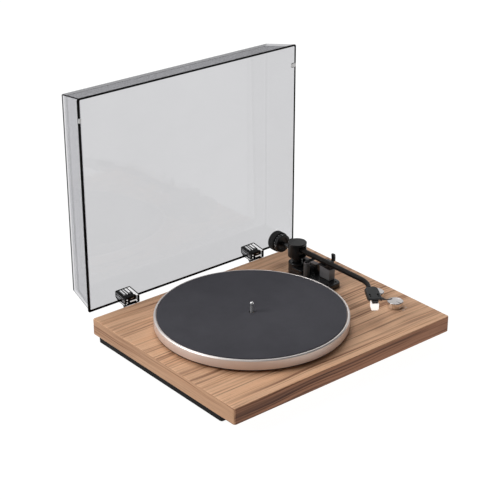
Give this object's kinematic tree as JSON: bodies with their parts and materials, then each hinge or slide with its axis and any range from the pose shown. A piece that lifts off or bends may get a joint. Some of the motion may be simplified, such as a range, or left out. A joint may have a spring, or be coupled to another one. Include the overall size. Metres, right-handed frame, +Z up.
{
  "type": "turntable record player",
  "caption": "Belt-drive record player with a wood plinth, felt-topped platter, offset tonearm and a clear hinged dust cover.",
  "frame": {"origin": "on the surface it stands on, at the middle of the box round the whole player with its cover open", "axes": "+X towards the tonearm side, -Y towards the front where the listener stands, +Z up"},
  "size_m": [0.43, 0.4218, 0.3977],
  "materials": {
    "walnut": "satin walnut veneer",
    "pan_plastic": "matte moulded plastic",
    "black_plastic": "fine satin moulded plastic",
    "gloss_black": "gloss moulded plastic",
    "black_metal": "satin black coat",
    "rubber": "matte",
    "felt": "pressed felt",
    "platter_metal": "satin turned",
    "knob_metal": "satin turned",
    "chrome": "polished",
    "steel": "bright",
    "brass": "turned",
    "acrylic": "clear light smoke, polished",
    "white_plastic": "satin",
    "red_plastic": "satin",
    "board": "lacquered circuit board"
  },
  "bodies": {
    "root": {"plinth": "walnut", "base_pan": "pan_plastic", "foot_front_left": "rubber", "foot_front_right": "rubber", "foot_rear_left": "rubber", "foot_rear_right": "rubber", "bearing_housing": "brass", "motor": "steel", "drive_belt": "rubber", "speed_switch": "black_plastic", "power_switch": "black_plastic", "arm_base": "gloss_black", "arm_pillar": "black_metal", "arm_rest": "black_plastic", "rear_panel": "black_plastic", "phono_socket_left": "white_plastic", "phono_socket_right": "red_plastic", "ground_post": "steel", "power_inlet": "black_plastic", "control_board": "board", "hinge_base_left": "black_metal", "hinge_base_right": "black_metal", "hinge_pin_left": "steel", "hinge_pin_right": "steel"},
    "cover": {"dust_cover": "acrylic", "cover_bumper_left": "rubber", "cover_bumper_right": "rubber", "hinge_clip_left": "acrylic", "hinge_clip_right": "acrylic"},
    "platter": {"platter": "platter_metal", "platter_mat": "felt", "spindle": "chrome"},
    "motor_rotor": {"motor_shaft": "steel", "motor_pulley": "brass"},
    "yoke": {"arm_yoke": "black_metal", "pivot_screw_left": "steel", "pivot_screw_right": "steel"},
    "tonearm": {"arm_bearing_block": "black_metal", "arm_tube": "black_metal", "headshell": "black_plastic", "finger_lift": "black_metal", "cartridge": "gloss_black", "stylus_assembly": "white_plastic", "rear_stub": "steel"},
    "counterweight": {"counterweight": "black_metal"},
    "force_ring": {"tracking_force_ring": "black_plastic"},
    "anti_skate_dial": {"anti_skate_dial": "black_plastic"},
    "cue_lever": {"cue_lever": "black_metal"},
    "lift_bar": {"lift_bar": "black_plastic"},
    "arm_clip": {"arm_clip": "black_plastic"},
    "speed_knob": {"speed_knob": "knob_metal", "speed_shaft": "steel"},
    "power_knob": {"power_knob": "knob_metal", "power_shaft": "steel"},
    "line_switch": {"line_switch": "black_plastic"}
  },
  "joints": [
    {"name": "cover_hinge", "type": "hinge", "parent": "root", "child": "cover", "pos_m": [0, 0.14835, 0.04575], "axis": [1, 0, 0], "range_deg": [0, 90]},
    {"name": "platter_spin", "type": "hinge", "parent": "root", "child": "platter", "pos_m": [-0.0373, -0.0353, 0.05], "axis": [0, 0, -1], "continuous": true},
    {"name": "motor_spin", "type": "hinge", "parent": "root", "child": "motor_rotor", "pos_m": [-0.1231, 0.03669, 0.05], "axis": [0, 0, -1], "continuous": true},
    {"name": "arm_swing", "type": "hinge", "parent": "root", "child": "yoke", "pos_m": [0.136, 0.0563, 0.0875], "axis": [0, 0, -1], "range_deg": [0, 40]},
    {"name": "arm_lift", "type": "hinge", "parent": "yoke", "child": "tonearm", "pos_m": [0.136, 0.0563, 0.0875], "axis": [1, 0, 0], "range_deg": [-8, 0]},
    {"name": "counterweight_slide", "type": "slide", "parent": "tonearm", "child": "counterweight", "axis": [0, 1, 0], "range_m": [-0.008, 0.003]},
    {"name": "force_ring_turn", "type": "hinge", "parent": "counterweight", "child": "force_ring", "pos_m": [0.136, 0.0945, 0.0848], "axis": [0, 1, 0], "range_deg": [-170, 170]},
    {"name": "anti_skate_turn", "type": "hinge", "parent": "root", "child": "anti_skate_dial", "pos_m": [0.151, 0.0716, 0.06], "axis": [0, 0, -1], "range_deg": [0, 270]},
    {"name": "cue_lever_turn", "type": "hinge", "parent": "root", "child": "cue_lever", "pos_m": [0.157, 0.0246, 0.061], "axis": [-1, 0, 0], "range_deg": [0, 50]},
    {"name": "lift_bar_rise", "type": "slide", "parent": "root", "child": "lift_bar", "axis": [0, 0, 1], "range_m": [0, 0.0034]},
    {"name": "arm_clip_turn", "type": "hinge", "parent": "root", "child": "arm_clip", "pos_m": [0.1492, -0.0156, 0.0906], "axis": [0, -1, 0], "range_deg": [0, 55]},
    {"name": "speed_knob_turn", "type": "hinge", "parent": "root", "child": "speed_knob", "pos_m": [0.173, -0.1341, 0.05], "axis": [0, 0, 1], "range_deg": [0, 34]},
    {"name": "power_knob_turn", "type": "hinge", "parent": "root", "child": "power_knob", "pos_m": [0.173, -0.0914, 0.05], "axis": [0, 0, 1], "range_deg": [0, 40]},
    {"name": "line_switch_slide", "type": "slide", "parent": "root", "child": "line_switch", "axis": [1, 0, 0], "range_m": [0, 0.004]}
  ],
  "couplings": [
    {"joint": "motor_spin", "follows": "platter_spin", "ratio": 12.5},
    {"joint": "lift_bar_rise", "follows": "cue_lever_turn", "m_per_rad": 0.0038}
  ]
}
